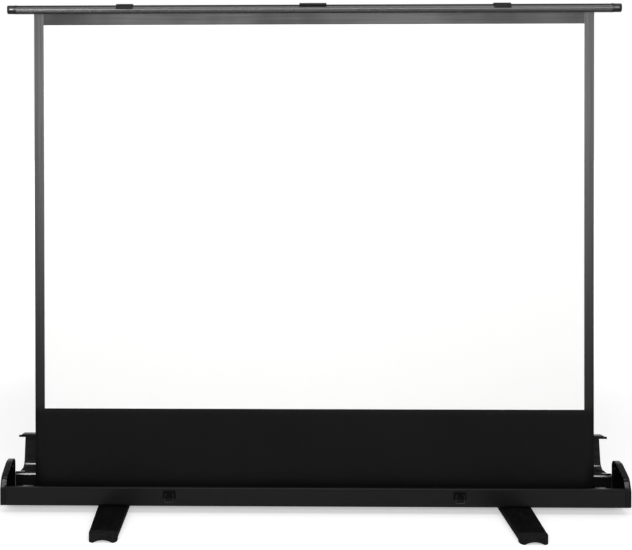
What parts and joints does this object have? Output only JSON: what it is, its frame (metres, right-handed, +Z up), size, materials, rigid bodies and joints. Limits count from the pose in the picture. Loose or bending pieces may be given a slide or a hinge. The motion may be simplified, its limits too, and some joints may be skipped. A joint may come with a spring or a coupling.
{
  "type": "pull up projection screen",
  "caption": "Floor-standing projection screen in a long hinged case, drawn up off a roller by geared knee arms behind the fabric, on swivelling feet.",
  "frame": {"origin": "on the floor, under the centre of the case", "axes": "+X along the case toward the viewer's right, -Y toward the viewer, +Z up"},
  "size_m": [1.881, 0.47, 1.5332],
  "materials": {
    "black_metal": "satin black paint on aluminium",
    "gloss_black": "glossy black moulding",
    "black_rubber": "matt black rubber",
    "satin_aluminium": "satin anodised",
    "black_fabric": "matt black coated fabric",
    "white_surface": "matt white projection coating",
    "black_plastic": "fine-textured black moulding",
    "zinc_steel": "zinc-plated steel"
  },
  "bodies": {
    "case": {"case_tray": "black_metal", "case_end_left": "black_plastic", "case_end_right": "black_plastic", "foot_bolt_left": "zinc_steel", "foot_bolt_right": "zinc_steel", "roller_bracket_left": "zinc_steel", "roller_bracket_right": "zinc_steel", "arm_stand": "zinc_steel", "hinge_case_leaf": "black_metal", "hinge_pin": "zinc_steel", "lid_stop_left": "zinc_steel", "lid_stop_right": "zinc_steel", "latch_base_left": "black_plastic", "latch_base_right": "black_plastic", "screen_fabric": "black_fabric", "viewing_surface": "white_surface"},
    "foot_left_body": {"foot_left": "black_metal", "foot_cap_front_left": "black_rubber", "foot_cap_rear_left": "black_rubber"},
    "lower_arm_left": {"lower_arm_left_tube": "satin_aluminium", "lower_arm_left_lower_knuckle": "black_plastic", "lower_arm_left_upper_knuckle": "black_plastic", "elbow_pin_left": "zinc_steel"},
    "upper_arm_left": {"upper_arm_left_tube": "satin_aluminium", "upper_arm_left_lower_knuckle": "black_plastic", "upper_arm_left_upper_knuckle": "black_plastic"},
    "latch_lever_left_body": {"latch_lever_left": "black_plastic"},
    "latch_loop_left_body": {"latch_loop_left": "zinc_steel"},
    "foot_right_body": {"foot_right": "black_metal", "foot_cap_front_right": "black_rubber", "foot_cap_rear_right": "black_rubber"},
    "lower_arm_right": {"lower_arm_right_tube": "satin_aluminium", "lower_arm_right_lower_knuckle": "black_plastic", "lower_arm_right_upper_knuckle": "black_plastic", "elbow_pin_right": "zinc_steel"},
    "upper_arm_right": {"upper_arm_right_tube": "satin_aluminium", "upper_arm_right_lower_knuckle": "black_plastic", "upper_arm_right_upper_knuckle": "black_plastic"},
    "latch_lever_right_body": {"latch_lever_right": "black_plastic"},
    "latch_loop_right_body": {"latch_loop_right": "zinc_steel"},
    "roller": {"roller_tube": "satin_aluminium", "wound_fabric": "black_fabric", "roller_plug_left": "black_plastic", "roller_plug_right": "black_plastic"},
    "top_bar_body": {"top_bar": "black_metal", "hem_rod": "satin_aluminium", "bar_end_left": "gloss_black", "bar_end_right": "gloss_black", "bar_clip_left": "black_plastic", "bar_clip_right": "black_plastic", "bar_grip": "black_plastic", "arm_yoke": "zinc_steel"},
    "lid_body": {"lid": "black_metal", "lid_seal": "black_rubber", "hinge_lid_leaf": "black_metal", "latch_keeper_left": "zinc_steel", "latch_keeper_right": "zinc_steel", "handle_mount_left": "black_plastic", "handle_mount_right": "black_plastic"},
    "handle_body": {"carry_handle": "black_plastic"}
  },
  "joints": [
    {"name": "arm_fold", "type": "hinge", "parent": "case", "child": "lower_arm_left", "pos_m": [-0.026, 0.037, 0.062], "axis": [0, -1, 0], "range_deg": [0, 73.8], "deforming": ["screen_fabric", "viewing_surface"]},
    {"name": "base_pivot_right", "type": "hinge", "parent": "case", "child": "lower_arm_right", "pos_m": [0.026, 0.037, 0.062], "axis": [0, -1, 0], "range_deg": [-73.8, 0]},
    {"name": "elbow_left", "type": "hinge", "parent": "lower_arm_left", "child": "upper_arm_left", "pos_m": [-0.22778, 0.0195, 0.77985], "axis": [0, -1, 0], "range_deg": [-147.6, 0]},
    {"name": "elbow_right", "type": "hinge", "parent": "lower_arm_right", "child": "upper_arm_right", "pos_m": [0.22778, 0.0195, 0.77985], "axis": [0, -1, 0], "range_deg": [0, 147.6]},
    {"name": "top_pivot", "type": "hinge", "parent": "upper_arm_left", "child": "top_bar_body", "pos_m": [-0.026, 0.0195, 1.4977], "axis": [0, -1, 0], "range_deg": [0, 73.8]},
    {"name": "roller_turn", "type": "hinge", "parent": "case", "child": "roller", "pos_m": [0, -0.0065, 0.049], "axis": [1, 0, 0], "continuous": true},
    {"name": "foot_swivel_left", "type": "hinge", "parent": "case", "child": "foot_left_body", "pos_m": [-0.603, 0, 0.01225], "axis": [0, 0, 1], "range_deg": [0, 90]},
    {"name": "foot_swivel_right", "type": "hinge", "parent": "case", "child": "foot_right_body", "pos_m": [0.603, 0, 0.01225], "axis": [0, 0, 1], "range_deg": [-90, 0]},
    {"name": "lid_hinge", "type": "hinge", "parent": "case", "child": "lid_body", "pos_m": [0, 0.059, 0.083], "axis": [1, 0, 0], "range_deg": [0, 18]},
    {"name": "latch_lever_left", "type": "hinge", "parent": "case", "child": "latch_lever_left_body", "pos_m": [-0.433, -0.0603, 0.0695], "axis": [1, 0, 0], "range_deg": [-150, 0]},
    {"name": "latch_loop_left", "type": "hinge", "parent": "latch_lever_left_body", "child": "latch_loop_left_body", "pos_m": [-0.433, -0.0603, 0.065], "axis": [-1, 0, 0], "range_deg": [0, 178]},
    {"name": "latch_lever_right", "type": "hinge", "parent": "case", "child": "latch_lever_right_body", "pos_m": [0.433, -0.0603, 0.0695], "axis": [1, 0, 0], "range_deg": [-150, 0]},
    {"name": "latch_loop_right", "type": "hinge", "parent": "latch_lever_right_body", "child": "latch_loop_right_body", "pos_m": [0.433, -0.0603, 0.065], "axis": [-1, 0, 0], "range_deg": [0, 178]},
    {"name": "handle_swing", "type": "hinge", "parent": "lid_body", "child": "handle_body", "pos_m": [0, 0.12727, 0.14306], "axis": [1, 0, 0], "range_deg": [-9, 95]}
  ],
  "couplings": [
    {"joint": "base_pivot_right", "follows": "arm_fold", "ratio": -1},
    {"joint": "elbow_left", "follows": "arm_fold", "ratio": -2},
    {"joint": "elbow_right", "follows": "arm_fold", "ratio": 2},
    {"joint": "top_pivot", "follows": "arm_fold", "ratio": 1}
  ]
}
